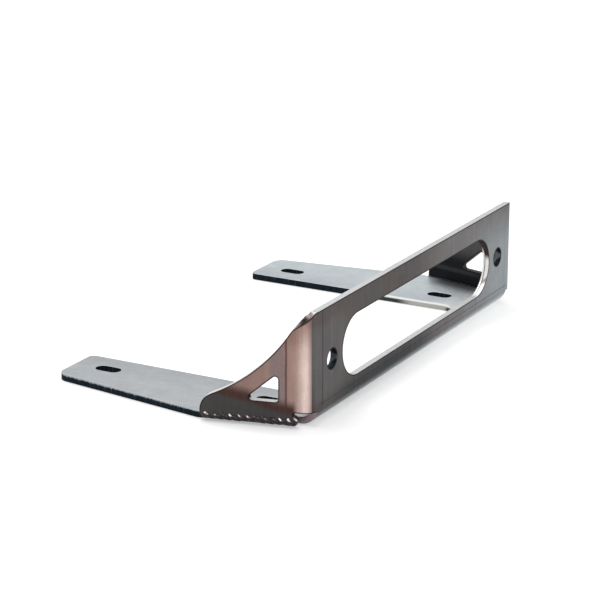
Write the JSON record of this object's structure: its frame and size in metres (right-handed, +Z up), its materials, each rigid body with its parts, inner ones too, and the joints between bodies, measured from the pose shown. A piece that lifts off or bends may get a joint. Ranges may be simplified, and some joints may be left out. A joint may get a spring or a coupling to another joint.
{
  "type": "stamped metal bracket",
  "caption": "Folded sheet-metal winch mounting plate: upright face with a cable window and fairlead holes, slotted feet, and a welded gusset at each end.",
  "frame": {"origin": "middle of the underside, half-way between the face plate's front and the feet's rear ends, at the level of the feet's underside", "axes": "+X across the bracket along its length, +Y rearwards from the face plate towards the feet's rear ends, +Z up from the feet"},
  "size_m": [0.3408, 0.194, 0.076],
  "materials": {
    "steel_sheet": "bare hot-rolled sheet, lightly brushed and oiled, heat-tinted near the welds",
    "weld": "as-welded, rippled, blue-black with bright crests"
  },
  "bodies": {
    "root": {"bracket_sheet": "steel_sheet", "left_weld_bead": "weld", "right_weld_bead": "weld"}
  },
  "joints": []
}
